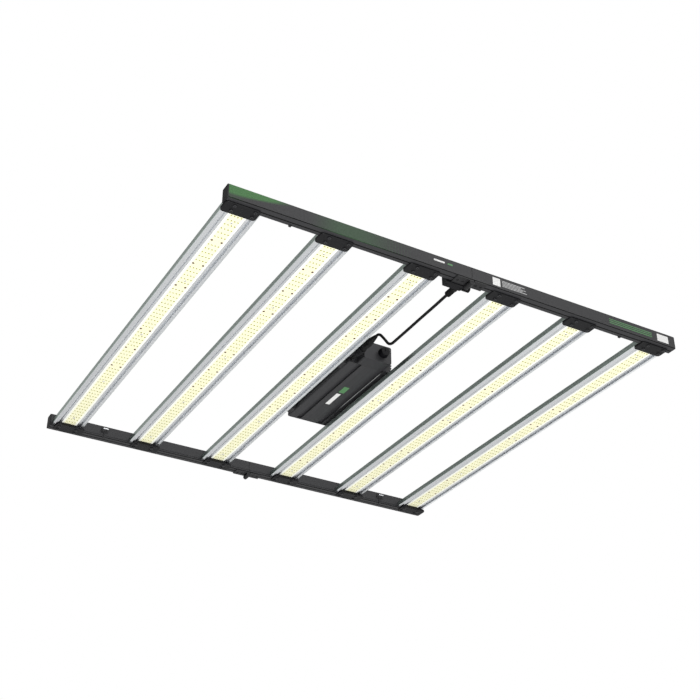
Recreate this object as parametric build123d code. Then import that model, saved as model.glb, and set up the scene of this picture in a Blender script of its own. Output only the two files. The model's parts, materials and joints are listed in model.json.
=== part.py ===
from build123d import *
import os
from math import cos, pi, radians, sin, tan

# Folding LED grow light: six finned bars between two hollow rails, split in the middle by a hinge on each
# rail, with a driver strapped over the left half. Millimetres, +Z up, the LEDs look down.
# Origin: centre of the four hanging loops, in plan and in height. X runs along the rails, Y along the bars.

# Driving dimensions. Levels are heights above the LED plane until level() moves them to the part's frame.
BAR_PITCH = 200.0           # between bar centres
BAR_COUNT = 6
LOOP_LEVEL = 15.0           # hanging loops above the LED plane

RAIL_INNER_Y = 506.0        # rail face that the bars meet
RAIL_OUTER_Y = 530.0
RAIL_BOTTOM = -5.5
RAIL_TOP = 25.5
RAIL_WALL = 1.8
RAIL_HALF_LENGTH = 544.0    # from the fold to the outside of the end cap
RAIL_BEVEL = 1.0
FOLD_GAP = 0.4              # from the fold plane to the cut end of each rail
CAP_THICK = 2.5

BAR_HALF_WIDTH = 37.0
BAR_HALF_LENGTH = 505.7
BAR_TOP = 22.0
BOARD_HALF_WIDTH = 18.7
BOARD_HALF_LENGTH = 490.0
BOARD_THICK = 1.6

BRACKET_INNER_Y = 487.6
BRACKET_OUTER_Y = 521.0
BRACKET_HALF_WIDTH = 36.5
BRACKET_OFFSET = 5.0        # from the bar's middle to the foot's, toward +X at the far side
BRACKET_BOTTOM = -8.5
LIP_LEVEL = -3.3            # bracket face under the lips of the bar

HINGE_AXIS_LEVEL = -11.5
KNUCKLE_RADIUS = 5.8
HINGE_PIN_RADIUS = 2.5
LEAF_LENGTH = 36.0
LEAF_THICK = 2.5

HANGER_X = 403.0
LOOP_HALF_WIDTH = 6.0       # from the middle of a loop to the centre of each leg
LOOP_REACH = 8.5            # from the rail's inner face to the centre of the crossbar
LOOP_WIRE = 1.5             # radius

DRIVER_CENTRE_X = 26.0
DRIVER_HALF_WIDTH = 57.0
NOSE_HALF_WIDTH = 36.0
PLATEAU_HALF_WIDTH = 23.0
RECESS_HALF_WIDTH = 35.0    # outer walls of the two recesses beside the plateau, just inside the nose
DRIVER_BOTTOM = 24.0
DRIVER_TOP = 69.0
DRIVER_FRONT_Y = -78.0
DRIVER_REAR_Y = 220.0
FLANGE_THICK = 4.0
NOSE_FRONT_Y = -116.0
STRAP_YS = (-60.0, 190.0)
STRAP_WIDTH = 24.0
STRAP_THICK = 3.0
STRAP_BEND = 4.5            # radius of each bend, at the middle of the strap's thickness

CABLE_RADIUS = 3.25
CONNECTOR_X = -26.0
CONNECTOR_LEVEL = 32.3
GLAND_X = -11.5
GLAND_LEVEL = -2.5
GLAND_END_Y = -456.0

SCREW_RADIUS = 2.0
SCREW_CLEARANCE = 0.05
SCREW_HEAD_RADIUS = 3.8
SCREW_HEAD = 2.2
RAIL_SCREW_Y = 514.0
BAR_SCREW_Y = 498.0
SCREW_X = 21.4

NEAR, FAR = -1, 1
LEFT, RIGHT = -1, 1
SIDES = {"near": NEAR, "far": FAR}
HALVES = {"left": LEFT, "right": RIGHT}
BAR_CENTRES = [(n - (BAR_COUNT - 1) / 2) * BAR_PITCH for n in range(BAR_COUNT)]


def level(height):
    """Height above the LED plane, in the part's frame."""
    return height - LOOP_LEVEL


def block(x0, x1, y0, y1, z0, z1):
    """Box between two corners, in either order along X and Y; z0 and z1 are levels above the LED plane."""
    size = (abs(x1 - x0), abs(y1 - y0), abs(z1 - z0))
    return Pos((x0 + x1) / 2, (y0 + y1) / 2, level((z0 + z1) / 2)) * Box(*size)


def rod_y(x, y0, y1, height, radius):
    """Cylinder along Y."""
    return Pos(x, (y0 + y1) / 2, level(height)) * Rot(90, 0, 0) * Cylinder(radius, abs(y1 - y0))


def rod_z(x, y, z0, z1, radius):
    """Cylinder along Z between two levels."""
    return Pos(x, y, level((z0 + z1) / 2)) * Cylinder(radius, abs(z1 - z0))


def cone_y(x, y0, y1, height, radius0, radius1):
    """Round taper along Y, radius0 at y0 and radius1 at y1, with y1 above y0."""
    return Pos(x, (y0 + y1) / 2, level(height)) * Rot(-90, 0, 0) * Cone(radius0, radius1, y1 - y0)


def hex_y(x, y0, y1, height, radius):
    """Hexagonal bar along Y; radius is to its corners."""
    outline = Pos(x, 0, level(height)) * Rot(90, 0, 0) * RegularPolygon(radius, 6)
    return Pos(0, max(y0, y1), 0) * extrude(outline, abs(y1 - y0))


def along(shape, direction):
    """Edges of the shape that run along one axis."""
    return shape.edges().filter_by(direction)


def bars_of(half):
    """X centres of the three bars on one half."""
    return [x for x in BAR_CENTRES if x * half > 0]


def loop_legs(half):
    """X of the two legs of each hanging loop on one half."""
    return [half * HANGER_X + offset for offset in (-LOOP_HALF_WIDTH, LOOP_HALF_WIDTH)]


def screw(x, y, head_level, tip_level):
    """Pan-head screw along Z, its head outside head_level and its shank running to tip_level."""
    away = 1 if head_level > tip_level else -1
    head = rod_z(x, y, head_level, head_level + away * SCREW_HEAD, SCREW_HEAD_RADIUS)
    head = fillet(head.edges().filter_by(GeomType.CIRCLE).sort_by(Axis.Z)[-1 if away > 0 else 0], 1.0)
    socket = rod_z(x, y, head_level + away * 0.9, head_level + away * SCREW_HEAD, 1.3)
    return head - socket + rod_z(x, y, head_level, tip_level, SCREW_RADIUS)


# ---- frame -------------------------------------------------------------------------------------------------

def rail(side, half):
    """Half of one rail: a hollow extrusion with a fine groove on its inner face and one underneath."""
    start, end = half * FOLD_GAP, half * (RAIL_HALF_LENGTH - CAP_THICK)
    inner, outer = side * RAIL_INNER_Y, side * RAIL_OUTER_Y
    body = chamfer(along(block(start, end, inner, outer, RAIL_BOTTOM, RAIL_TOP), Axis.X), RAIL_BEVEL)
    body -= block(start, end, inner + side * RAIL_WALL, outer - side * RAIL_WALL,
                  RAIL_BOTTOM + RAIL_WALL, RAIL_TOP - RAIL_WALL)
    body -= block(start, end, inner, inner + side * 0.8, -0.9, 0.5)
    body -= block(start, end, inner + side * 9.5, inner + side * 12.5, RAIL_BOTTOM, RAIL_BOTTOM + 0.8)
    for x in loop_legs(half):
        body -= rod_y(x, inner, inner + side * (RAIL_WALL + 1), LOOP_LEVEL, LOOP_WIRE + 0.05)
    hole = SCREW_RADIUS + SCREW_CLEARANCE
    for x in bars_of(half):
        for offset in (-SCREW_X, SCREW_X):
            body -= rod_z(x + offset, side * RAIL_SCREW_Y, RAIL_BOTTOM - 1, RAIL_BOTTOM + 3, hole)
    return body


def end_cap(side, half):
    """Moulded cap on the outer end of a rail, with a plug that fits inside the extrusion."""
    outside, seat = half * RAIL_HALF_LENGTH, half * (RAIL_HALF_LENGTH - CAP_THICK)
    inner, outer = side * RAIL_INNER_Y, side * RAIL_OUTER_Y
    plate = fillet(along(block(seat, outside, inner, outer, RAIL_BOTTOM, RAIL_TOP), Axis.X), 2.0)
    gap = RAIL_WALL + 0.15
    plug = block(seat - half * 8, seat, inner + side * gap, outer - side * gap,
                 RAIL_BOTTOM + gap, RAIL_TOP - gap)
    hollow = block(seat - half * 8, seat - half * 1, inner + side * (gap + 2), outer - side * (gap + 2),
                   RAIL_BOTTOM + gap + 2, RAIL_TOP - gap - 2)
    return plate + (plug - hollow)


def bar_outline():
    """Right half of the bar's section, from the middle of the board seat round to the middle of the top."""
    points = [(0, 1.7), (18.8, 1.7), (18.8, 0), (24, 0), (24, 5.6), (28, 5.6), (28, -3.1),
              (BAR_HALF_WIDTH, 0), (BAR_HALF_WIDTH, 11.6), (34.8, 11.6), (34.8, 2.2), (30.2, 2.2),
              (30.2, 8.4), (18.3, 8.4)]
    for fin in (17.5, 10.5, 3.5):
        points += [(fin + 0.8, BAR_TOP), (fin - 0.8, BAR_TOP), (fin - 0.8, 5.2)]
        if fin > 4:
            points.append((fin - 6.2, 5.2))
    return points + [(0, 5.2)]


def heatsink(x):
    """Extruded bar: a seat for the LED board, a groove and a sloping lip down each edge, fins on top."""
    half = bar_outline()
    outline = half + [(-px, pz) for px, pz in reversed(half[1:-1])]
    section = Plane.XZ * make_face(Polyline(*outline, close=True))
    body = Pos(x, 0, level(0)) * extrude(section, BAR_HALF_LENGTH, both=True)
    hole = SCREW_RADIUS + SCREW_CLEARANCE
    for side in (NEAR, FAR):
        for offset in (-SCREW_X, SCREW_X):
            body -= rod_z(x + offset, side * BAR_SCREW_Y, -1, 7, hole)
    if x == BAR_CENTRES[2]:
        for y in STRAP_YS:
            body -= rod_z(x, y, 3.2, 6, hole)
    return body


def led_board(x):
    """Printed circuit board that carries the LEDs, its underside on the LED plane."""
    return block(x - BOARD_HALF_WIDTH, x + BOARD_HALF_WIDTH, -BOARD_HALF_LENGTH, BOARD_HALF_LENGTH,
                 0, BOARD_THICK)


def end_bracket(x, side):
    """Cast foot that ties the end of a bar to the underside of a rail, with its screws off its own middle."""
    inner, outer = side * BRACKET_INNER_Y, side * BRACKET_OUTER_Y
    middle = x + side * BRACKET_OFFSET
    left, right = middle - BRACKET_HALF_WIDTH, middle + BRACKET_HALF_WIDTH
    plate = fillet(along(block(left, right, inner, outer, BRACKET_BOTTOM, RAIL_BOTTOM), Axis.Z), 7.0)
    step = block(left, right, inner, side * (RAIL_INNER_Y - 0.2), RAIL_BOTTOM, LIP_LEVEL)
    corners = along(step, Axis.Z).filter_by_position(Axis.Y, *sorted((inner - 0.1, inner + 0.1)))
    step = fillet(corners, 7.0)
    pad = block(x - 23.5, x + 23.5, inner + side * 1.4, side * (RAIL_INNER_Y - 0.2), LIP_LEVEL, 0)
    body = plate + step + pad
    rim = body.faces().sort_by(Axis.Z)[0].edges()
    body = chamfer(rim, 0.8)
    for y in (RAIL_SCREW_Y, BAR_SCREW_Y):
        for offset in (-SCREW_X, SCREW_X):
            body -= rod_z(x + offset, side * y, BRACKET_BOTTOM - 1, 1, SCREW_RADIUS + 0.3)
    return body


def bracket_screws(half):
    """Screws through the feet: one pair into each rail and one pair into each bar end."""
    screws = []
    for x in bars_of(half):
        for side in (NEAR, FAR):
            for offset in (-SCREW_X, SCREW_X):
                screws.append(screw(x + offset, side * RAIL_SCREW_Y, BRACKET_BOTTOM, RAIL_BOTTOM + 5))
                screws.append(screw(x + offset, side * BAR_SCREW_Y, BRACKET_BOTTOM, 6.5))
    return Compound(screws)


# ---- hinges ------------------------------------------------------------------------------------------------

KNUCKLES = {LEFT: ((506.0, 512.8), (523.2, 530.0)), RIGHT: ((513.0, 523.0),)}


def hinge_leaf(side, half):
    """Leaf under one rail half, rolled into its share of the knuckles at the fold."""
    edge = half * (KNUCKLE_RADIUS + 0.7)
    leaf = block(edge, half * LEAF_LENGTH, side * RAIL_INNER_Y, side * RAIL_OUTER_Y,
                 RAIL_BOTTOM - LEAF_THICK, RAIL_BOTTOM)
    for start, end in KNUCKLES[half]:
        leaf += block(0, edge, side * start, side * end, RAIL_BOTTOM - LEAF_THICK, RAIL_BOTTOM - 0.2)
        leaf += rod_y(0, side * start, side * end, HINGE_AXIS_LEVEL, KNUCKLE_RADIUS)
    running = 0.05 if half == RIGHT else 0.02
    leaf -= rod_y(0, side * 500, side * 535, HINGE_AXIS_LEVEL, HINGE_PIN_RADIUS + running)
    for x in (16.0, 28.0):
        leaf -= rod_z(half * x, side * 518, RAIL_BOTTOM - LEAF_THICK, RAIL_BOTTOM - LEAF_THICK + 1.2, 3.0)
    return leaf


def hinge_pin(side):
    """Pin that both leaves share."""
    return rod_y(0, side * 506.2, side * 529.8, HINGE_AXIS_LEVEL, HINGE_PIN_RADIUS)


# ---- hanging points ----------------------------------------------------------------------------------------

def hanger_plates(half):
    """Steel plates behind the hanging loops, each with a narrow tail hooked under the rail."""
    plates = []
    middle = half * HANGER_X
    for side in (NEAR, FAR):
        face = side * RAIL_INNER_Y
        plate = block(middle - 10, middle + 10, face - side * 1.5, face, 8.0, 22.0)
        plate = fillet(along(plate, Axis.Y), 3.0)
        tail = block(middle - 2.5, middle + 2.5, face - side * 1.5, face, RAIL_BOTTOM - 1.5, 9.0)
        hook = block(middle - 2.5, middle + 2.5, face, face + side * 4, RAIL_BOTTOM - 1.5, RAIL_BOTTOM)
        plate = plate + tail + hook
        for x in loop_legs(half):
            plate -= rod_y(x, face - side * 2, face + side * 1, LOOP_LEVEL, LOOP_WIRE + 0.05)
        plates.append(plate)
    return Compound(plates)


def hanging_loops(half):
    """Steel wire loops for the hanging hooks, their legs riveted over inside the rails."""
    loops = []
    for side in (NEAR, FAR):
        wall = side * (RAIL_INNER_Y + RAIL_WALL)
        tip = side * (RAIL_INNER_Y - LOOP_REACH)
        middle = Pos(half * HANGER_X, tip, level(LOOP_LEVEL))
        loop = middle * Rot(0, 90, 0) * Cylinder(LOOP_WIRE, 2 * LOOP_HALF_WIDTH)
        for x in loop_legs(half):
            loop += rod_y(x, tip, wall + side * 0.5, LOOP_LEVEL, LOOP_WIRE)
            loop += Pos(x, tip, level(LOOP_LEVEL)) * Sphere(LOOP_WIRE)
            loop += rod_y(x, wall, wall + side * 1.5, LOOP_LEVEL, LOOP_WIRE + 1)
        loops.append(loop)
    return Compound(loops)


# ---- driver ------------------------------------------------------------------------------------------------

def driver_span(half_width, y0, y1, z0, z1):
    """Block centred on the driver."""
    return block(DRIVER_CENTRE_X - half_width, DRIVER_CENTRE_X + half_width, y0, y1, z0, z1)


def driver_section(y0, y1):
    """Solid with the driver's full section: a plateau, a recess each side of it, and finned side walls."""
    body = driver_span(DRIVER_HALF_WIDTH, y0, y1, DRIVER_BOTTOM, DRIVER_TOP)
    body = fillet(along(body, Axis.Y), 3.5)
    for side in (-1, 1):
        x0 = DRIVER_CENTRE_X + side * PLATEAU_HALF_WIDTH
        x1 = DRIVER_CENTRE_X + side * RECESS_HALF_WIDTH
        body -= block(x0, x1, y0, y1, DRIVER_BOTTOM, DRIVER_BOTTOM + 5)
        wall = DRIVER_CENTRE_X + side * DRIVER_HALF_WIDTH
        for height in (34, 41, 48, 55, 62):
            body -= block(wall, wall - side * 2.5, y0, y1, height - 1.6, height + 1.6)
    return body


def driver_housing():
    """Extruded driver case, open at both ends."""
    body = driver_section(DRIVER_FRONT_Y, DRIVER_REAR_Y)
    body -= driver_span(DRIVER_HALF_WIDTH - 6, DRIVER_FRONT_Y, DRIVER_REAR_Y,
                        DRIVER_BOTTOM + 9, DRIVER_TOP - 4)
    for x, z in flange_screw_places():
        for start, inside in ((DRIVER_FRONT_Y, 8), (DRIVER_REAR_Y, -8)):
            body -= rod_y(x, start, start + inside, z, 1.55)
    return body


def flange_screw_places():
    """Cap screws sit in the foot of each side of the case, just outside the nose."""
    reach = NOSE_HALF_WIDTH + 4
    return [(DRIVER_CENTRE_X + side * reach, DRIVER_BOTTOM + 4.5) for side in (-1, 1)]


KNOB_X, KNOB_LEVEL = 39.0, 47.5
KNOB_RADIUS = 12.5


def driver_front_cap():
    """Front cap: a flange over the case and a narrower nose that carries the dimmer."""
    flange = driver_section(DRIVER_FRONT_Y - FLANGE_THICK, DRIVER_FRONT_Y)
    nose = driver_span(NOSE_HALF_WIDTH, NOSE_FRONT_Y, DRIVER_FRONT_Y - FLANGE_THICK,
                       DRIVER_BOTTOM, DRIVER_TOP)
    nose = fillet(along(nose, Axis.Y), 4.0)
    hollow = driver_span(NOSE_HALF_WIDTH - 3, NOSE_FRONT_Y + 4, DRIVER_FRONT_Y,
                         DRIVER_BOTTOM + 9, DRIVER_TOP - 4)
    cap = flange + nose - hollow
    cap -= rod_y(KNOB_X, NOSE_FRONT_Y - 1, NOSE_FRONT_Y + 5, KNOB_LEVEL, 3.05)
    for x, z in flange_screw_places():
        cap -= rod_y(x, DRIVER_FRONT_Y - 5, DRIVER_FRONT_Y, z, 1.7)
    return cap


MAINS_X, MAINS_LEVEL = 58.0, 56.0
PORT_X, PORT_LEVEL = 2.0, 54.0


def driver_rear_cap():
    """Plain rear cap plate, with holes for the mains gland and the dimming socket."""
    cap = driver_span(DRIVER_HALF_WIDTH, DRIVER_REAR_Y, DRIVER_REAR_Y + FLANGE_THICK,
                      DRIVER_BOTTOM, DRIVER_TOP)
    cap = fillet(along(cap, Axis.Y), 3.5)
    cap -= rod_y(MAINS_X, DRIVER_REAR_Y, DRIVER_REAR_Y + 5, MAINS_LEVEL, 6.0)
    cap -= block(PORT_X - 8, PORT_X + 8, DRIVER_REAR_Y, DRIVER_REAR_Y + 5, PORT_LEVEL - 7, PORT_LEVEL + 7)
    for x, z in flange_screw_places():
        cap -= rod_y(x, DRIVER_REAR_Y, DRIVER_REAR_Y + 5, z, 1.7)
    return cap


def driver_screws():
    """Cap screws along Y, and the two screws that hold the straps down on the third bar."""
    screws = []
    for x, z in flange_screw_places():
        for face, inward in ((DRIVER_FRONT_Y - FLANGE_THICK, 1), (DRIVER_REAR_Y + FLANGE_THICK, -1)):
            head = rod_y(x, face, face - inward * 1.8, z, 2.8)
            head -= rod_y(x, face - inward * 0.9, face - inward * 1.8, z, 1.2)
            screws.append(head + rod_y(x, face, face + inward * 11, z, 1.5))
    for y in STRAP_YS:
        screws.append(screw(BAR_CENTRES[2], y, BAR_TOP + STRAP_THICK, 3.4))
    return Compound(screws)


def driver_circuit_board():
    """Board inside the driver, with its transformers, capacitors and heat spreader."""
    floor = DRIVER_BOTTOM + 9
    board = driver_span(48, DRIVER_FRONT_Y + 6, DRIVER_REAR_Y - 20, floor + 3, floor + 4.6)
    top = floor + 4.6
    for y in (-30, 60, 150):
        board += block(DRIVER_CENTRE_X - 34, DRIVER_CENTRE_X - 2, y - 16, y + 16, top, top + 22)
        board += rod_z(DRIVER_CENTRE_X + 22, y, top, top + 24, 11)
    for x in (-40, 38):
        board += block(DRIVER_CENTRE_X + x, DRIVER_CENTRE_X + x + 3, -60, 190, top, top + 18)
    for x in (-46, 46):
        board += block(DRIVER_CENTRE_X + x - 2, DRIVER_CENTRE_X + x + 2, -60, 190, floor, floor + 3)
    return board


def driver_straps():
    """Formed steel straps that pass over the driver: foot on the third bar, rest above the fourth."""
    middle = STRAP_THICK / 2
    left = DRIVER_CENTRE_X - DRIVER_HALF_WIDTH - middle
    right = DRIVER_CENTRE_X + DRIVER_HALF_WIDTH + middle
    foot, top, rest = BAR_TOP + middle, DRIVER_TOP + middle, DRIVER_BOTTOM + 1 + middle
    turns = [(BAR_CENTRES[2] - 20, foot), (left, foot), (left, top), (right, top), (right, rest),
             (right + 28.5, rest)]
    straps = []
    for y in STRAP_YS:
        path = FilletPolyline(*[(x, y, level(z)) for x, z in turns], radius=STRAP_BEND)
        start = Plane(origin=path @ 0, x_dir=(0, 1, 0), z_dir=(1, 0, 0))
        strap = sweep(start * Rectangle(STRAP_WIDTH, STRAP_THICK), path=path)
        strap -= rod_z(BAR_CENTRES[2], y, BAR_TOP - 1, BAR_TOP + STRAP_THICK + 1, SCREW_RADIUS + 0.3)
        straps.append(strap)
    return Compound(straps)


def mains_gland():
    """Cable gland for the mains lead: threaded stem in the rear cap, hexagon, domed nut and a clear bore."""
    face = DRIVER_REAR_Y + FLANGE_THICK
    stem = rod_y(MAINS_X, DRIVER_REAR_Y - 4, face, MAINS_LEVEL, 5.95)
    collar = hex_y(MAINS_X, face, face + 5, MAINS_LEVEL, 10.0)
    nut = hex_y(MAINS_X, face + 5.6, face + 14, MAINS_LEVEL, 9.4) + rod_y(MAINS_X, face + 5, face + 5.6,
                                                                            MAINS_LEVEL, 8.0)
    dome = cone_y(MAINS_X, face + 14, face + 20, MAINS_LEVEL, 8.0, 5.6)
    bore = rod_y(MAINS_X, DRIVER_REAR_Y - 5, face + 21, MAINS_LEVEL, 4.2)
    return stem + collar + nut + dome - bore


def dimming_port():
    """Modular socket for a dimming controller, set in the rear cap."""
    face = DRIVER_REAR_Y + FLANGE_THICK
    body = block(PORT_X - 7.8, PORT_X + 7.8, face - 15, face, PORT_LEVEL - 6.8, PORT_LEVEL + 6.8)
    mouth = block(PORT_X - 5.9, PORT_X + 5.9, face - 12, face, PORT_LEVEL - 3.4, PORT_LEVEL + 4.4)
    latch_way = block(PORT_X - 3, PORT_X + 3, face - 12, face, PORT_LEVEL - 5.4, PORT_LEVEL - 3.4)
    return body - mouth - latch_way


def dimmer_knob():
    """Fluted knob with a pointer rib, and its shaft through the nose."""
    back, front = NOSE_FRONT_Y - 0.5, NOSE_FRONT_Y - 14
    knob = cone_y(KNOB_X, front, back, KNOB_LEVEL, KNOB_RADIUS - 1.2, KNOB_RADIUS)
    rim = knob.edges().filter_by(GeomType.CIRCLE).sort_by(Axis.Y)[0]
    knob = fillet(rim, 1.5)
    for turn in range(0, 360, 30):
        x = KNOB_X + (KNOB_RADIUS + 0.6) * cos(radians(turn + 15))
        z = KNOB_LEVEL + (KNOB_RADIUS + 0.6) * sin(radians(turn + 15))
        knob -= rod_y(x, front - 1, back - 2.5, z, 1.7)
    knob += block(KNOB_X - 1, KNOB_X + 1, front - 0.8, front + 1, KNOB_LEVEL, KNOB_LEVEL + 8)
    return knob + rod_y(KNOB_X, back, NOSE_FRONT_Y + 9, KNOB_LEVEL, 3.0)


# ---- output wiring -----------------------------------------------------------------------------------------

BOX_X0, BOX_X1 = -47.0, -2.0
BOX_FACE_Y = -488.0
BOX_BOTTOM, BOX_TOP = -10.0, 12.0
COVER_THICK = 2.0


def junction_box():
    """Box on the inner face of the near rail where the driver's output joins the wiring in the rail."""
    rail_face = -RAIL_INNER_Y
    box = block(BOX_X0, BOX_X1, rail_face, BOX_FACE_Y, BOX_BOTTOM + COVER_THICK, BOX_TOP)
    corners = along(box, Axis.Z).filter_by_position(Axis.Y, BOX_FACE_Y - 0.1, BOX_FACE_Y + 0.1)
    box = fillet(corners, 3.0)
    box -= block(BOX_X0 + 2, BOX_X1 - 2, rail_face + 2, BOX_FACE_Y - 2, BOX_BOTTOM + COVER_THICK, BOX_TOP - 2)
    return box


def junction_cover():
    """Screwed cover under the junction box."""
    plate = block(BOX_X0, BOX_X1, -RAIL_INNER_Y, BOX_FACE_Y, BOX_BOTTOM, BOX_BOTTOM + COVER_THICK)
    corners = along(plate, Axis.Z).filter_by_position(Axis.Y, BOX_FACE_Y - 0.1, BOX_FACE_Y + 0.1)
    plate = fillet(corners, 3.0)
    for x in (BOX_X0 + 5, BOX_X1 - 5):
        plate -= rod_z(x, (BOX_FACE_Y - RAIL_INNER_Y) / 2, BOX_BOTTOM, BOX_BOTTOM + 0.8, 2.4)
    return plate


def fold_boot():
    """Ribbed boot on the box's inner end, where the lead leaves for the other half of the light."""
    y, height = -497.0, -6.0
    boot = Pos((BOX_X1 + 14) / 2, y, level(height)) * Rot(0, 90, 0) * Cylinder(5.6, 14 - BOX_X1)
    for n in range(4):
        boot += Pos(BOX_X1 + 2.5 + n * 4, y, level(height)) * Rot(0, 90, 0) * Cylinder(7.0, 2.2)
    return boot


def cable_gland():
    """Strain reliefs on the junction box: hexagon and blunt ringed nut round the cable, and the boot."""
    gland = hex_y(GLAND_X, BOX_FACE_Y, BOX_FACE_Y + 7, GLAND_LEVEL, 8.2)
    nut = rod_y(GLAND_X, BOX_FACE_Y + 7, GLAND_END_Y, GLAND_LEVEL, 7.0)
    nut = chamfer(nut.edges().filter_by(GeomType.CIRCLE).sort_by(Axis.Y)[-1], 1.4)
    for n in range(4):
        y = BOX_FACE_Y + 10 + n * 5
        nut -= rod_y(GLAND_X, y, y + 1.8, GLAND_LEVEL, 8) - rod_y(GLAND_X, y, y + 1.8, GLAND_LEVEL, 6.2)
    return Compound([gland + nut, fold_boot()])


PLUG_START_Y = -194.0
SOCKET_START_Y = -136.0
SOCKET_END_Y = -102.0


def connector_plug():
    """Round plug on the end of the output cable, with a long tapering boot."""
    boot_end = PLUG_START_Y + 22
    plug = cone_y(CONNECTOR_X, PLUG_START_Y, boot_end, CONNECTOR_LEVEL, 4.2, 8.0)
    plug += rod_y(CONNECTOR_X, boot_end, SOCKET_START_Y, CONNECTOR_LEVEL, 8.0)
    return plug + hex_y(CONNECTOR_X, boot_end + 8, boot_end + 18, CONNECTOR_LEVEL, 9.6)


def connector_socket():
    """Coupling ring and socket on the driver's own lead."""
    ring = rod_y(CONNECTOR_X, SOCKET_START_Y, SOCKET_START_Y + 16, CONNECTOR_LEVEL, 10.0)
    for turn in range(0, 360, 20):
        x = CONNECTOR_X + 10.4 * cos(radians(turn))
        z = CONNECTOR_LEVEL + 10.4 * sin(radians(turn))
        ring -= rod_y(x, SOCKET_START_Y, SOCKET_START_Y + 14, z, 1.0)
    body = rod_y(CONNECTOR_X, SOCKET_START_Y + 16, SOCKET_END_Y - 8, CONNECTOR_LEVEL, 8.0)
    return ring + body + cone_y(CONNECTOR_X, SOCKET_END_Y - 8, SOCKET_END_Y, CONNECTOR_LEVEL, 8.0, 4.6)


def driver_lead():
    """Short lead from the socket into the driver's front flange."""
    return rod_y(CONNECTOR_X, SOCKET_END_Y, DRIVER_FRONT_Y - FLANGE_THICK, CONNECTOR_LEVEL, CABLE_RADIUS)


# Route of the output cable as (x, y, level): taut from the strain relief to beside the driver, then a tight
# turn up and another into the plug.
CABLE_ROUTE = [
    (GLAND_X, GLAND_END_Y, GLAND_LEVEL),
    (-10.2, -411, -2.4),
    (-9.2, -355, -1.2),
    (-7.8, -300, -0.6),
    (-7.0, -254, 0.2),
    (-6.4, -220, 0.4),
    (-17.6, -215.4, 17.6),
    (-27.0, -207.6, 33.4),
    (CONNECTOR_X, PLUG_START_Y, CONNECTOR_LEVEL),
]


def output_cable():
    """Cable from the junction box to the plug: straight runs joined by the largest arcs that fit."""
    points = [Vector(x, y, level(z)) for x, y, z in CABLE_ROUTE]
    radii = []
    for before, corner, after in zip(points, points[1:], points[2:]):
        run = min((corner - before).length, (after - corner).length)
        half_turn = (corner - before).get_angle(after - corner) / 2
        radii.append(0.45 * run / tan(radians(half_turn)))
    path = FilletPolyline(*points, radius=radii)
    start = Plane(origin=points[0], z_dir=points[1] - points[0])
    tube = sweep(start * Circle(CABLE_RADIUS), path=path)
    expected = pi * CABLE_RADIUS ** 2 * path.length
    print("cable radii", [round(r, 1) for r in radii])
    print("cable length", round(path.length, 1), "volume over section times length", tube.volume / expected)
    return tube


# ---- all nodes ---------------------------------------------------------------------------------------------

def nodes():
    """Every sub-part of the light by name."""
    parts = {}
    for side_name, side in SIDES.items():
        for half_name, half in HALVES.items():
            parts[f"{side_name}_rail_{half_name}"] = rail(side, half)
            parts[f"{side_name}_end_cap_{half_name}"] = end_cap(side, half)
            parts[f"{side_name}_hinge_leaf_{half_name}"] = hinge_leaf(side, half)
        parts[f"{side_name}_hinge_pin"] = hinge_pin(side)
    for number, x in enumerate(BAR_CENTRES, start=1):
        parts[f"bar_{number}_heatsink"] = heatsink(x)
        parts[f"bar_{number}_led_board"] = led_board(x)
        for side_name, side in SIDES.items():
            parts[f"bar_{number}_{side_name}_bracket"] = end_bracket(x, side)
    for half_name, half in HALVES.items():
        parts[f"bracket_screws_{half_name}"] = bracket_screws(half)
        parts[f"hanger_plates_{half_name}"] = hanger_plates(half)
        parts[f"hanging_loops_{half_name}"] = hanging_loops(half)
    for make in (driver_housing, driver_front_cap, driver_rear_cap, driver_screws, driver_circuit_board,
                 driver_straps, mains_gland, dimming_port, dimmer_knob, junction_box, junction_cover,
                 cable_gland, connector_plug, connector_socket, driver_lead, output_cable):
        parts[make.__name__] = make()
    return parts


os.makedirs("parts", exist_ok=True)
for name, shape in nodes().items():
    export_step(shape, f"parts/{name}.step")
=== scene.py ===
import json
from math import cos, pi, sin

import bpy
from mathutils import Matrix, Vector


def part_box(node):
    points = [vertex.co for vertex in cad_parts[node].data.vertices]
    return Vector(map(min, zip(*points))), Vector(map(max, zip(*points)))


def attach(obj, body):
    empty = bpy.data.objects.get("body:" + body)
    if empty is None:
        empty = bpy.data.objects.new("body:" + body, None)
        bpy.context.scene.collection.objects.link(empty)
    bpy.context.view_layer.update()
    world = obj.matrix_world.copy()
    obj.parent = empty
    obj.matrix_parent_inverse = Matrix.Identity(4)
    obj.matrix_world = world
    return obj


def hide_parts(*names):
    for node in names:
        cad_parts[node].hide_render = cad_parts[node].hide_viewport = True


# Looks of the folding LED grow light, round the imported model. Metres, +Z up, the LEDs look down.

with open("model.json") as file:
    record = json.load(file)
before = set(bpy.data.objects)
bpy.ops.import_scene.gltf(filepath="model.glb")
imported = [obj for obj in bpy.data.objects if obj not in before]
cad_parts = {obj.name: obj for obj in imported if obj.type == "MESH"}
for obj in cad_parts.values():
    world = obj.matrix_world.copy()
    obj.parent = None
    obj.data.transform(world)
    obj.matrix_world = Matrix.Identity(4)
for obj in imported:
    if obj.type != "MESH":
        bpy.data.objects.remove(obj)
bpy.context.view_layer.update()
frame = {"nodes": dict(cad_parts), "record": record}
MM = 0.001

# ---- driving places, from the frame --------------------------------------------------------------

BAR_COUNT = 6
BAR_PITCH = 200 * MM
LED_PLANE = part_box("bar_1_led_board")[0].z
RAIL_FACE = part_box("near_rail_left")[0].y
RAIL_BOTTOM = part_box("near_rail_left")[0].z
RAIL_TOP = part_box("near_rail_left")[1].z
RAIL_MIDDLE = (RAIL_BOTTOM + RAIL_TOP) / 2

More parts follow.
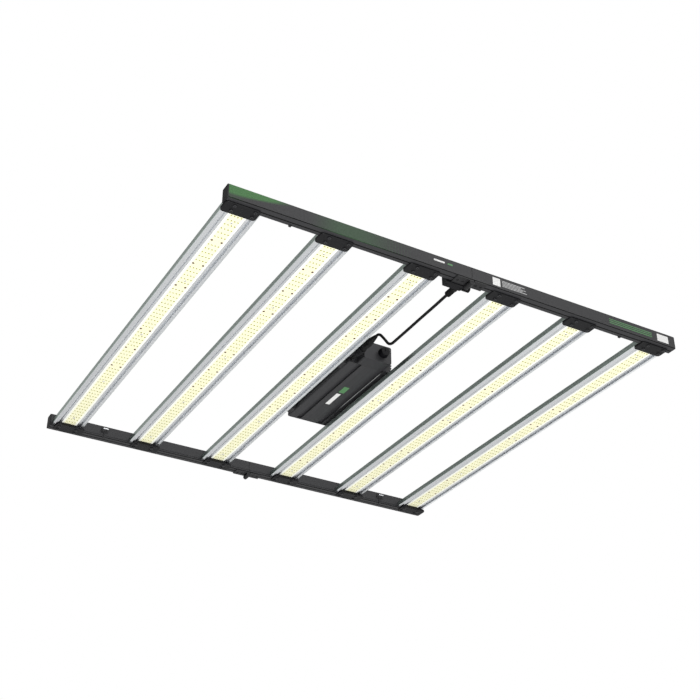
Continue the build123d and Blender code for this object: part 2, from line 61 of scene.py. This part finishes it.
LED_ROWS = 65
LED_COLUMNS = (-10.5 * MM, -3.5 * MM, 3.5 * MM, 10.5 * MM)
LED_PITCH = 14.84 * MM
FIRST_ROW = -474.9 * MM
RED_ROWS = (6, 12, 18, 31, 37, 43)      # counted from the near end of the bars on the left half
SCREW_ROWS = (1.5, 16.5, 32.5, 48.5, 62.5)
LED_HALF_WIDTH = 1.95 * MM
LED_CORNER = 0.3 * MM
WHITE_DOME_RADIUS = 1.86 * MM
RED_DOME_RADIUS = 2.6 * MM
STICKER = 0.12 * MM                      # thickness of the labels

FLOOR_LEVEL = -2.95
CABLE_RADIUS = 3.25 * MM
LOOP_LEVEL = 15.0                        # millimetres from the LED plane up to the frame's origin
CAMERA_PLACE = (-1.23299, -2.18711, -1.42695)
CAMERA_AIM = (0.4249, 0.7427, 0.5175)
CAMERA_LENS = 63.15                      # millimetres, on a sensor 36 mm wide


def new_object(name, data):
    """Adds an object to the scene."""
    made = bpy.data.objects.new(name, data)
    bpy.context.scene.collection.objects.link(made)
    return made


def bar_middle(number):
    """Where a bar's middle is along X."""
    low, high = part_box(f"bar_{number}_led_board")
    return (low.x + high.x) / 2


# ---- node materials ------------------------------------------------------------------------------

class Finish:
    """A node material in the making: its shader, and short calls that add the nodes that feed it."""

    def __init__(self, name, colour, roughness, metallic=0.0, shine=0.5):
        self.material = bpy.data.materials.new(name)
        self.material.use_nodes = True
        self.tree = self.material.node_tree
        self.shader = self.tree.nodes["Principled BSDF"]
        self.set("Base Color", (*colour, 1))
        self.set("Roughness", roughness)
        self.set("Metallic", metallic)
        self.set("Specular IOR Level", shine)
        self.colour = (*colour, 1)

    def set(self, socket, value):
        """Gives one of the shader's sockets a constant, or the output of another node."""
        self.feed(self.shader.inputs[socket], value)

    def feed(self, socket, value):
        if isinstance(value, bpy.types.NodeSocket):
            self.tree.links.new(value, socket)
        else:
            socket.default_value = value

    def add(self, kind, output, **values):
        """New node; values are its inputs by name, with _ for a space. Returns one of its outputs."""
        node = self.tree.nodes.new("ShaderNode" + kind)
        for name, value in values.items():
            self.feed(node.inputs[name.replace("_", " ")], value)
        return node.outputs[output]

    def maths(self, operation, first, second=0.0):
        node = self.tree.nodes.new("ShaderNodeMath")
        node.operation = operation
        self.feed(node.inputs[0], first)
        self.feed(node.inputs[1], second)
        return node.outputs[0]

    def place(self, axis=None):
        """Position in the row frame, or one axis of it."""
        where = self.add("TexCoord", "Object")
        return where if axis is None else self.add("SeparateXYZ", axis, Vector=where)

    def noise(self, features, detail=2.0):
        """Noise from 0 to 1; features are how many there are in a metre along X, Y and Z."""
        node = self.tree.nodes.new("ShaderNodeVectorMath")
        node.operation = "MULTIPLY"
        self.feed(node.inputs[0], self.place())
        node.inputs[1].default_value = features
        return self.add("TexNoise", "Fac", Vector=node.outputs[0], Scale=1.0, Detail=detail)

    def between(self, value, low, high, at_low=0.0, at_high=1.0):
        """Eased step: at_low up to low, at_high from high on."""
        node = self.tree.nodes.new("ShaderNodeMapRange")
        node.interpolation_type = "SMOOTHSTEP"
        for socket, number in zip(node.inputs, (value, low, high, at_low, at_high)):
            self.feed(socket, number)
        return node.outputs[0]

    def mix(self, share, first, second):
        """Colour from first to second."""
        node = self.tree.nodes.new("ShaderNodeMix")
        node.data_type = "RGBA"
        self.feed(node.inputs[0], share)
        self.feed(node.inputs[6], first)
        self.feed(node.inputs[7], second)
        return node.outputs[2]

    def tint(self, pattern, spread):
        """Base colour that varies by spread each way with a pattern from 0 to 1."""
        dark = [c * (1 - spread) for c in self.colour[:3]] + [1]
        light = [min(1.0, c * (1 + spread)) for c in self.colour[:3]] + [1]
        self.set("Base Color", self.mix(pattern, dark, light))

    def pattern_so_far(self):
        """What feeds the base colour now."""
        return self.shader.inputs["Base Color"].links[0].from_socket

    def bump(self, height, depth, strength):
        """Relief of that depth in metres."""
        self.set("Normal", self.add("Bump", "Normal", Height=height, Distance=depth, Strength=strength))


def die_lines(finish, axis):
    """Fine and broad streaks that an extrusion die leaves along one axis."""
    fine = [1800.0] * 3
    fine[axis] = 2.0
    broad = [180.0] * 3
    broad[axis] = 0.7
    return finish.noise(fine), finish.noise(broad)


def extrusion(name, colour, roughness, metallic, axis, shine=0.5):
    """Anodised extrusion with die lines along one axis."""
    finish = Finish(name, colour, roughness, metallic, shine)
    fine, broad = die_lines(finish, axis)
    finish.tint(broad, 0.07)
    finish.set("Roughness", finish.between(broad, 0.3, 0.7, roughness - 0.06, roughness + 0.06))
    finish.bump(fine, 0.000004, 0.3)
    return finish


def painted(name, colour, roughness, grain=900.0, depth=0.00004, shine=0.25):
    """Powder coat or moulded skin: a fine grain, with slow changes of tone and gloss."""
    finish = Finish(name, colour, roughness, shine=shine)
    slow = finish.noise((14.0, 14.0, 14.0), 3.0)
    finish.tint(slow, 0.18)
    finish.set("Roughness", finish.between(slow, 0.3, 0.7, roughness - 0.07, roughness + 0.05))
    finish.bump(finish.noise((grain, grain, grain)), depth, 0.6)
    return finish


def turned_steel(name, colour, roughness):
    """Bright steel with faint scratches."""
    finish = Finish(name, colour, roughness, 1.0)
    scratches = finish.noise((120.0, 2200.0, 120.0))
    finish.tint(scratches, 0.12)
    finish.bump(scratches, 0.00001, 0.4)
    return finish


RAIL_BLACK = (0.026, 0.026, 0.028)
RAIL_SHINE = 0.28
GREEN = (0.045, 0.150, 0.042)
DARK_GREEN = (0.028, 0.062, 0.030)


def rail_extrusion(name):
    """Black rail finish, with painted shade on the bevels along the foot and the top edges."""
    finish = extrusion(name, RAIL_BLACK, 0.45, 0.0, 0, RAIL_SHINE)
    plain = finish.pattern_so_far()
    height = finish.place("Z")
    # Painted shade: the bevels along the foot and the top edges are painted near black and made fully rough.
    foot = finish.maths("ABSOLUTE", finish.maths("SUBTRACT", height, RAIL_BOTTOM + 0.9 * MM))
    top = finish.maths("ABSOLUTE", finish.maths("SUBTRACT", height, RAIL_TOP - 0.9 * MM))
    line = finish.between(finish.maths("MINIMUM", foot, top), 0.6 * MM, 0.9 * MM, 1.0, 0.0)
    finish.set("Base Color", finish.mix(line, plain, (0.001, 0.001, 0.001, 1)))
    finish.set("Roughness", finish.between(line, 0.0, 1.0, 0.45, 1.0))
    return finish


def rail_accent():
    """Rail finish with a plain green fade and pinstripes printed on the outer face near the left end."""
    finish = rail_extrusion("rail_accent")
    plain = finish.pattern_so_far()
    x, y, z = (finish.place(axis) for axis in ("X", "Y", "Z"))
    face = finish.between(y, RAIL_FACE + 0.4 * MM, RAIL_FACE + 0.9 * MM, 1.0, 0.0)
    height = finish.between(z, RAIL_BOTTOM + 0.004, RAIL_TOP - 0.002)
    wedge = finish.maths("ADD", finish.between(x, -0.535, -0.36, 0.85, -0.45), height)
    wedge = finish.between(wedge, 0.75, 1.2)
    wedge = finish.maths("MULTIPLY", wedge, finish.between(x, -0.46, -0.36, 1.0, 0.0))
    middle = finish.between(x, -0.27, -0.16, 1.0, 0.0)
    middle = finish.maths("MULTIPLY", finish.between(x, -0.38, -0.30), middle)
    lines = finish.between(finish.maths("PINGPONG", x, 0.0035), 0.0006, 0.0012, 1.0, 0.0)
    lines = finish.maths("MULTIPLY", lines, finish.between(x, -0.27, -0.20))
    lines = finish.maths("MULTIPLY", lines, finish.between(x, -0.20, -0.12, 0.5, 0.0))
    soft = finish.maths("MULTIPLY", finish.maths("MAXIMUM", middle, lines), face)
    strong = finish.maths("MULTIPLY", wedge, face)
    finish.set("Base Color", finish.mix(strong, finish.mix(soft, plain, (*DARK_GREEN, 1)), (*GREEN, 1)))
    return finish


def from_bar_middle(finish):
    """Distance along X from the middle of the nearest bar."""
    across = finish.maths("PINGPONG", finish.place("X"), BAR_PITCH / 2)
    return finish.maths("ABSOLUTE", finish.maths("SUBTRACT", across, BAR_PITCH / 2))


def bar_aluminium():
    """Bright anodised extrusion, brushed along the bar; its outer walls carry painted shade, darker and
    greener.
    """
    finish = extrusion("bar_aluminium", (0.90, 0.92, 0.95), 0.34, 1.0, 1)
    plain = finish.pattern_so_far()
    # Painted shade: each bar's outer walls are painted darker and greener than the rest of the bar.
    painted_wall_shade = finish.between(from_bar_middle(finish), 0.0360, 0.0368)
    finish.set("Base Color", finish.mix(painted_wall_shade, plain, (0.70, 0.82, 0.76, 1)))
    return finish


def board_mask():
    """White solder mask over copper: buried tracks show as faint lines, and the middle has a painted yellow
    glow from the LEDs.
    """
    finish = Finish("board_mask", (0.90, 0.91, 0.80), 0.45)
    across = from_bar_middle(finish)
    # Painted glow: the middle of the board, round the LEDs, is painted yellower as if lit by them; the
    # tracks show only there.
    painted_led_glow = finish.between(across, 0.011, 0.0165, 1.0, 0.0)
    colour = finish.mix(painted_led_glow, (0.94, 0.95, 0.87, 1), (0.93, 0.91, 0.62, 1))
    track = finish.between(finish.maths("PINGPONG", across, 0.0035), 0.0022, 0.0028)
    breaks = finish.maths("PINGPONG", finish.maths("SUBTRACT", finish.place("Y"), FIRST_ROW), LED_PITCH / 2)
    breaks = finish.between(breaks, 0.0042, 0.0048, 1.0, 0.0)
    copper = finish.maths("MULTIPLY", finish.maths("MULTIPLY", track, breaks), painted_led_glow)
    colour = finish.mix(finish.maths("MULTIPLY", copper, 0.35), colour, (0.70, 0.70, 0.50, 1))
    finish.set("Base Color", colour)
    finish.set("Roughness", finish.between(finish.noise((60.0, 60.0, 60.0)), 0.3, 0.7, 0.38, 0.5))
    finish.bump(copper, 0.00003, 0.6)
    return finish


def driver_extrusion():
    """Black extrusion, with a painted highlight along the inner edge of its right foot."""
    finish = extrusion("driver_case", RAIL_BLACK, 0.45, 0.0, 1, 0.3)
    plain = finish.pattern_so_far()
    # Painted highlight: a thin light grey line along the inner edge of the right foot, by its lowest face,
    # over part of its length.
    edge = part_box("driver_housing")[1].x - 0.0222
    off = finish.maths("ABSOLUTE", finish.maths("SUBTRACT", finish.place("X"), edge))
    painted_edge_highlight = finish.between(off, 0.8 * MM, 1.2 * MM, 1.0, 0.0)
    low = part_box("driver_housing")[0].z
    painted_edge_highlight = finish.maths("MULTIPLY", painted_edge_highlight, finish.between(finish.place("Z"), low, low + 2 * MM, 1.0, 0.0))
    along = finish.between(finish.place("Y"), -0.075, -0.055)
    along = finish.maths("MULTIPLY", along, finish.between(finish.place("Y"), 0.10, 0.14, 1.0, 0.0))
    painted_edge_highlight = finish.maths("MULTIPLY", painted_edge_highlight, along)
    finish.set("Base Color", finish.mix(painted_edge_highlight, plain, (0.42, 0.43, 0.42, 1)))
    return finish


def circuit_board():
    """Green solder mask with darker tracks, inside the driver."""
    finish = Finish("circuit_green", (0.03, 0.16, 0.07), 0.4)
    tracks = finish.noise((300.0, 40.0, 300.0))
    finish.tint(tracks, 0.3)
    finish.bump(tracks, 0.00003, 0.5)
    return finish


def phosphor():
    """Yellow silicone over the LED dies."""
    finish = Finish("led_phosphor", (0.34, 0.33, 0.012), 0.5, shine=0.2)
    grain = finish.noise((900.0, 900.0, 900.0))
    finish.tint(grain, 0.15)
    return finish


def red_lens():
    """Deep red LED dies under clear silicone."""
    finish = Finish("led_red_lens", (0.075, 0.010, 0.006), 0.4, shine=0.2)
    finish.tint(finish.noise((900.0, 900.0, 900.0)), 0.2)
    finish.set("Coat Weight", 0.2)
    return finish


def label(name, colour):
    """Blank printed label: satin film with slight changes of tone."""
    finish = Finish(name, colour, 0.35)
    finish.tint(finish.noise((150.0, 150.0, 150.0), 4.0), 0.05)
    return finish


def finishes():
    """Every material of the object by the record's slot, and a few more for pieces made here."""
    made = {
        "rail_black": rail_extrusion("rail_black"),
        "rail_accent": rail_accent(),
        "cap_black": painted("cap_black", (0.008, 0.008, 0.009), 0.5),
        "hinge_black": painted("hinge_black", (0.015, 0.015, 0.016), 0.45),
        "pin_steel": turned_steel("pin_steel", (0.030, 0.030, 0.032), 0.45),
        "bar_aluminium": bar_aluminium(),
        "board_white": board_mask(),
        "screw_black": painted("screw_black", (0.02, 0.02, 0.022), 0.3, 2000.0, 0.00001),
        "bracket_black": painted("bracket_black", (0.008, 0.008, 0.009), 0.45, shine=0.16),
        "loop_steel": turned_steel("loop_steel", (0.75, 0.76, 0.78), 0.22),
        "driver_case": driver_extrusion(),
        "driver_cap": painted("driver_cap", (0.024, 0.024, 0.026), 0.45),
        "circuit_green": circuit_board(),
        "strap_black": painted("strap_black", (0.014, 0.014, 0.015), 0.45),
        "moulded_black": painted("moulded_black", (0.006, 0.006, 0.007), 0.5, 1500.0, shine=0.15),
        "knob_black": painted("knob_black", (0.003, 0.003, 0.004), 0.45, 1500.0, shine=0.12),
        "rubber_black": painted("rubber_black", (0.005, 0.005, 0.005), 0.55, 1500.0, shine=0.15),
        "cable_black": painted("cable_black", (0.005, 0.005, 0.005), 0.5, 1200.0, shine=0.15),
        "led_body": painted("led_body", (0.86, 0.86, 0.80), 0.4, 2000.0, 0.00001),
        "led_phosphor": phosphor(),
        "led_red_lens": red_lens(),
        "screw_bright": turned_steel("screw_bright", (0.70, 0.70, 0.70), 0.3),
        "label_white": label("label_white", (0.75, 0.75, 0.74)),
        "label_grey": label("label_grey", (0.50, 0.50, 0.50)),
        "label_green": label("label_green", (0.06, 0.20, 0.065)),
    }
    return {name: finish.material for name, finish in made.items()}


MATERIALS = finishes()


def dress_nodes():
    """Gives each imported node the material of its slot."""
    for row in frame["record"]["subparts"]:
        name = "rail_accent" if row["node"] == "near_rail_left" else row["material_slot"]
        mesh = frame["nodes"][row["node"]].data
        mesh.materials.clear()
        mesh.materials.append(MATERIALS[name])


# ---- pieces --------------------------------------------------------------------------------------

def piece(name, points, faces, body, slot, finish=None):
    """Mesh piece in the row frame that rides on a body."""
    mesh = bpy.data.meshes.new(name)
    mesh.from_pydata(points, [], faces)
    mesh.validate()
    made = new_object(name, mesh)
    mesh.materials.append(MATERIALS[finish or slot])
    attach(made, body)
    return made


def ring(radius, level, sides, turn=0.5):
    """Points of a regular ring, at a level."""
    angles = [2 * pi * (n + turn) / sides for n in range(sides)]
    return [(radius * cos(a), radius * sin(a), level) for a in angles]


def shell_of(rings):
    """Points and faces of a closed shell through rings of equal counts."""
    sides = len(rings[0])
    points = [p for one in rings for p in one]
    faces = []
    for lower in range(len(rings) - 1):
        for n in range(sides):
            after = (n + 1) % sides
            start = lower * sides
            faces.append((start + n, start + sides + n, start + sides + after, start + after))
    faces.append(tuple(range(sides)))
    faces.append(tuple(reversed(range(len(points) - sides, len(points)))))
    return points, faces


def copies(shape, places):
    """One mesh's points and faces, repeated at each place."""
    points, faces = shape
    all_points, all_faces = [], []
    for place in places:
        start = len(all_points)
        all_points += [(p[0] + place[0], p[1] + place[1], p[2] + place[2]) for p in points]
        all_faces += [tuple(start + n for n in face) for face in faces]
    return all_points, all_faces


def square_ring(half, corner, level):
    """Eight points of a square with cut corners."""
    inner = half - corner
    flat = [(half, -inner), (half, inner), (inner, half), (-inner, half),
            (-half, inner), (-half, -inner), (-inner, -half), (inner, -half)]
    return [(x, y, level) for x, y in flat]


def led_package():
    """White LED housing, its cup open downwards."""
    cup = [ring(r * MM, z * MM, 8, -0.5) for r, z in ((1.80, -0.70), (1.70, -0.45))]
    rings = [square_ring(LED_HALF_WIDTH, LED_CORNER, 0.0),
             square_ring(LED_HALF_WIDTH, LED_CORNER, -0.60 * MM),
             square_ring(LED_HALF_WIDTH - 0.05 * MM, LED_CORNER, -0.70 * MM), *cup]
    return shell_of(rings)


def led_dome(radius):
    """Silicone dome that fills the cup or stands over it."""
    profile = ((0.95, -0.45), (1.0, -0.72), (0.82, -0.95), (0.42, -1.08))
    return shell_of([ring(share * radius, z * MM, 8) for share, z in profile])


def led_places(number):
    """Where a bar's white and red LEDs sit."""
    middle = bar_middle(number)
    turned = number > BAR_COUNT / 2
    red_rows = [LED_ROWS - 1 - row for row in RED_ROWS] if turned else RED_ROWS
    white, red = [], []
    for row in range(LED_ROWS):
        y = FIRST_ROW + row * LED_PITCH
        if row in red_rows:
            red += [(middle + x, y, LED_PLANE) for x in (LED_COLUMNS[0], LED_COLUMNS[-1])]
        else:
            white += [(middle + x, y, LED_PLANE) for x in LED_COLUMNS]
    return white, red


def board_screw():
    """Low round head with a hexagonal socket."""
    profile = ((2.6, 0.0), (2.6, -0.7), (2.1, -1.2), (1.05, -1.35), (1.0, -0.6))
    return shell_of([ring(r * MM, z * MM, 12) for r, z in profile])


def light_bars():
    """LED housings, domes and board screws of each bar."""
    for number in range(1, BAR_COUNT + 1):
        body = "left_half" if number <= BAR_COUNT / 2 else "right_half"
        white, red = led_places(number)
        housings = copies(led_package(), white + red)
        piece(f"bar_{number}_led_housings", *housings, body, "board_white", "led_body")
        domes = copies(led_dome(WHITE_DOME_RADIUS), white)
        piece(f"bar_{number}_led_domes", *domes, body, "board_white", "led_phosphor")
        domes = copies(led_dome(RED_DOME_RADIUS), red)
        piece(f"bar_{number}_red_domes", *domes, body, "board_white", "led_red_lens")
        heads = [(bar_middle(number), FIRST_ROW + row * LED_PITCH, LED_PLANE) for row in SCREW_ROWS]
        piece(f"bar_{number}_board_screws", *copies(board_screw(), heads), body, "pin_steel", "screw_bright")


def rounded_plate(width, height, thick, corner):
    """Thin plate with round corners, in the XY plane, its back at level 0 and its face at thick."""
    outline = []
    for n in range(4):
        cx = (width / 2 - corner) * (1 if n in (0, 3) else -1)
        cy = (height / 2 - corner) * (1 if n in (0, 1) else -1)
        for step in range(5):
            angle = pi / 2 * (n + step / 4)
            outline.append((cx + corner * cos(angle), cy + corner * sin(angle)))
    inset = [(x * (1 - 2 * thick / width), y * (1 - 2 * thick / height)) for x, y in outline]
    rings = [[(x, y, 0.0) for x, y in outline], [(x, y, thick * 0.6) for x, y in outline],
             [(x, y, thick) for x, y in inset]]
    points, faces = shell_of(rings)
    return points, [tuple(reversed(face)) for face in faces]


def rail_label(name, x, z, width, height, body, finish):
    """Blank label on the outer face of the near rail."""
    points, faces = rounded_plate(width, height, STICKER, min(0.8 * MM, height / 2.5))
    placed = [(x + px, RAIL_FACE - pz, z + py) for px, py, pz in points]
    piece(name, placed, faces, body, "rail_black", finish)


def rail_labels():
    """Blank labels and plain accents where the near rail is printed."""
    rail_label("accent_bar_white", -0.079, RAIL_MIDDLE + 3 * MM, 26 * MM, 4 * MM, "left_half", "label_white")
    rail_label("accent_bar_green", -0.053, RAIL_MIDDLE + 3 * MM, 12 * MM, 4 * MM, "left_half", "label_green")
    rail_label("code_label", 0.061, RAIL_MIDDLE, 19 * MM, 19 * MM, "right_half", "label_white")
    for line, width in enumerate((58, 48, 60, 52, 63)):
        rail_label(f"rating_line_{line + 1}", 0.075 + width / 2 * MM, RAIL_MIDDLE + (6.5 - 3.2 * line) * MM,
                   width * MM, 1.4 * MM, "right_half", "label_grey")
    for line in range(3):
        rail_label(f"accent_stripe_{line + 1}", 0.418, RAIL_MIDDLE + (4.6 - 4.6 * line) * MM,
                   120 * MM, 2.2 * MM, "right_half", "label_green")
    rail_label("serial_label", 0.509, RAIL_MIDDLE, 32 * MM, 18 * MM, "right_half", "label_white")


def driver_plate(name, x, y, width, length, finish):
    """Plain accent on the underside of the driver."""
    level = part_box("driver_housing")[0].z
    points, faces = rounded_plate(width, length, STICKER, 1.5 * MM)
    placed = [(x + px, y - py, level - pz) for px, py, pz in points]
    piece(name, placed, faces, "left_half", "driver_case", finish)


def output_cable():
    """The cable from the junction box to the driver's connector, on one smooth line."""
    route = [(-11.5, -456, -2.5), (-10.2, -411, -2.4), (-9.2, -355, -1.2), (-7.8, -300, -0.6),
             (-7.0, -254, 0.2), (-6.4, -220, 0.4), (-17.6, -215.4, 17.6), (-27.0, -207.6, 33.4),
             (-26.0, -194, 32.3)]
    curve = bpy.data.curves.new("output_cable_line", "CURVE")
    curve.dimensions = "3D"
    curve.bevel_depth = CABLE_RADIUS
    curve.bevel_resolution = 6
    curve.resolution_u = 16
    curve.use_fill_caps = True
    line = curve.splines.new("NURBS")
    line.points.add(len(route) - 1)
    for point, (x, y, level) in zip(line.points, route):
        point.co = (x * MM, y * MM, (level - LOOP_LEVEL) * MM, 1.0)
    line.order_u = 3
    line.use_endpoint_u = True
    cable = new_object("output_cable_smooth", curve)
    curve.materials.append(MATERIALS["cable_black"])
    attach(cable, "left_half")
    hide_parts("output_cable")


# ---- stage ---------------------------------------------------------------------------------------

def stage_floor():
    """Plain pale floor, well below the hanging light."""
    mesh = bpy.data.meshes.new("floor")
    half = 20.0
    corners = [(-half, -half), (half, -half), (half, half), (-half, half)]
    mesh.from_pydata([(x, y, FLOOR_LEVEL) for x, y in corners], [], [(0, 1, 2, 3)])
    floor = new_object("floor", mesh)
    finish = Finish("floor_pale", (0.86, 0.86, 0.86), 0.8)
    finish.tint(finish.noise((0.6, 0.6, 0.6)), 0.02)
    mesh.materials.append(finish.material)


def area_light(name, place, size, watts):
    """Large soft lamp that faces the middle of the light."""
    data = bpy.data.lights.new(name, "AREA")
    data.size = size
    data.energy = watts
    lamp = new_object(name, data)
    lamp.location = place
    lamp.rotation_mode = "QUATERNION"
    lamp.rotation_quaternion = (-Vector(place)).to_track_quat("-Z", "Y")


def studio_light():
    """White surround, darker to the left and behind so that the side walls read, and two soft lamps."""
    world = bpy.data.worlds.new("studio")
    bpy.context.scene.world = world
    world.use_nodes = True
    tree = world.node_tree
    nodes, links = tree.nodes, tree.links
    seen = nodes["Background"]
    seen.inputs["Color"].default_value = (1, 1, 1, 1)
    seen.inputs["Strength"].default_value = 1.0
    lit = nodes.new("ShaderNodeBackground")
    way = nodes.new("ShaderNodeTexCoord")
    split = nodes.new("ShaderNodeSeparateXYZ")
    links.new(way.outputs["Generated"], split.inputs[0])
    fall = nodes.new("ShaderNodeMapRange")
    fall.interpolation_type = "SMOOTHSTEP"
    for socket, number in zip(list(fall.inputs)[1:5], (-0.48, 0.1, 0.12, 0.97)):
        socket.default_value = number
    links.new(split.outputs["X"], fall.inputs[0])
    lit.inputs["Color"].default_value = (1, 1, 1, 1)
    links.new(fall.outputs[0], lit.inputs["Strength"])
    chosen = nodes.new("ShaderNodeMixShader")
    path = nodes.new("ShaderNodeLightPath")
    links.new(path.outputs["Is Camera Ray"], chosen.inputs[0])
    links.new(lit.outputs[0], chosen.inputs[1])
    links.new(seen.outputs[0], chosen.inputs[2])
    links.new(chosen.outputs[0], nodes["World Output"].inputs["Surface"])
    area_light("lamp_below", (-0.6, -1.6, -2.3), 1.5, 60)
    area_light("lamp_above", (0.8, -1.4, 2.6), 2.5, 40)


def camera():
    """Camera below and in front, looking up at the LED side."""
    data = bpy.data.cameras.new("camera")
    data.sensor_width = 36.0
    data.lens = CAMERA_LENS
    data.clip_end = 100.0
    eye = new_object("camera", data)
    eye.location = CAMERA_PLACE
    eye.rotation_mode = "QUATERNION"
    eye.rotation_quaternion = Vector(CAMERA_AIM).to_track_quat("-Z", "Y")
    bpy.context.scene.camera = eye


# ---- the whole scene -----------------------------------------------------------------------------

bpy.context.scene.view_settings.view_transform = "Standard"
dress_nodes()
light_bars()
rail_labels()
driver_plate("driver_accent_white", 0.024, 0.093, 11 * MM, 58 * MM, "label_white")
driver_plate("driver_accent_green", 0.026, 0.042, 14 * MM, 30 * MM, "label_green")
output_cable()
stage_floor()
studio_light()
camera()
